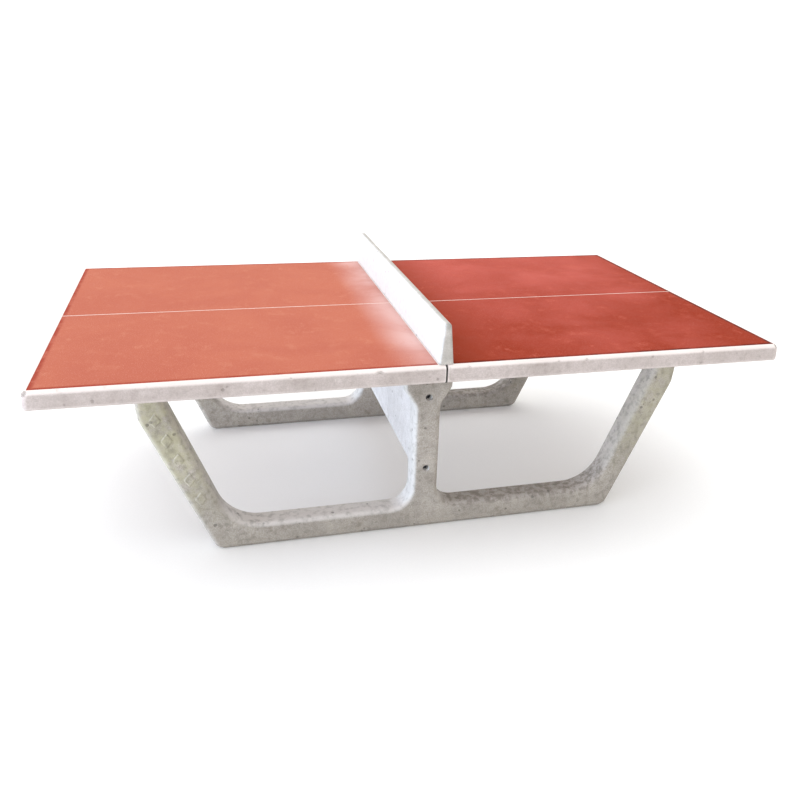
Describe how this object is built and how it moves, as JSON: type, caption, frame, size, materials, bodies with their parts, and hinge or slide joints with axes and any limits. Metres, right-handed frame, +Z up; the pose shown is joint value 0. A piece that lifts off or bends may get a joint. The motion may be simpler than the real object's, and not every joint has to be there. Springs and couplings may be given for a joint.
{
  "type": "ping pong table",
  "caption": "Outdoor precast concrete ping pong table: two half slabs with red playing surfaces on wing-shaped side frames, a cross wall and a solid tapered net.",
  "frame": {"origin": "on the ground under the middle of the net, at the bottom centre of the whole table", "axes": "+X along the length of the table, +Y across it towards the rear frame, +Z up"},
  "size_m": [2.74, 1.525, 0.9125],
  "materials": {
    "slab_concrete": "matte",
    "net_concrete": "matte",
    "frame_concrete": "matte",
    "wall_concrete": "matte",
    "red_topping": "satin",
    "line_marking": "matte",
    "joint_sealant": "matte",
    "pad_rubber": "matte",
    "galvanised_steel": "matte",
    "reinforcing_steel": "rough"
  },
  "bodies": {
    "root": {"right_slab": "slab_concrete", "left_slab": "slab_concrete", "right_slab_mesh": "reinforcing_steel", "left_slab_mesh": "reinforcing_steel", "right_playing_surface": "red_topping", "left_playing_surface": "red_topping", "right_centre_line": "line_marking", "left_centre_line": "line_marking", "joint_seal": "joint_sealant", "net_wall": "net_concrete", "net_rebar": "reinforcing_steel", "net_studs": "galvanised_steel", "net_stud_sockets": "galvanised_steel", "front_frame": "frame_concrete", "rear_frame": "frame_concrete", "front_frame_cage": "reinforcing_steel", "rear_frame_cage": "reinforcing_steel", "cross_wall": "wall_concrete", "cross_wall_mesh": "reinforcing_steel", "frame_bolts": "galvanised_steel", "bolt_washers": "galvanised_steel", "wall_sockets": "galvanised_steel", "arm_pads": "pad_rubber", "column_pads": "pad_rubber", "slab_dowels": "galvanised_steel"}
  },
  "joints": []
}
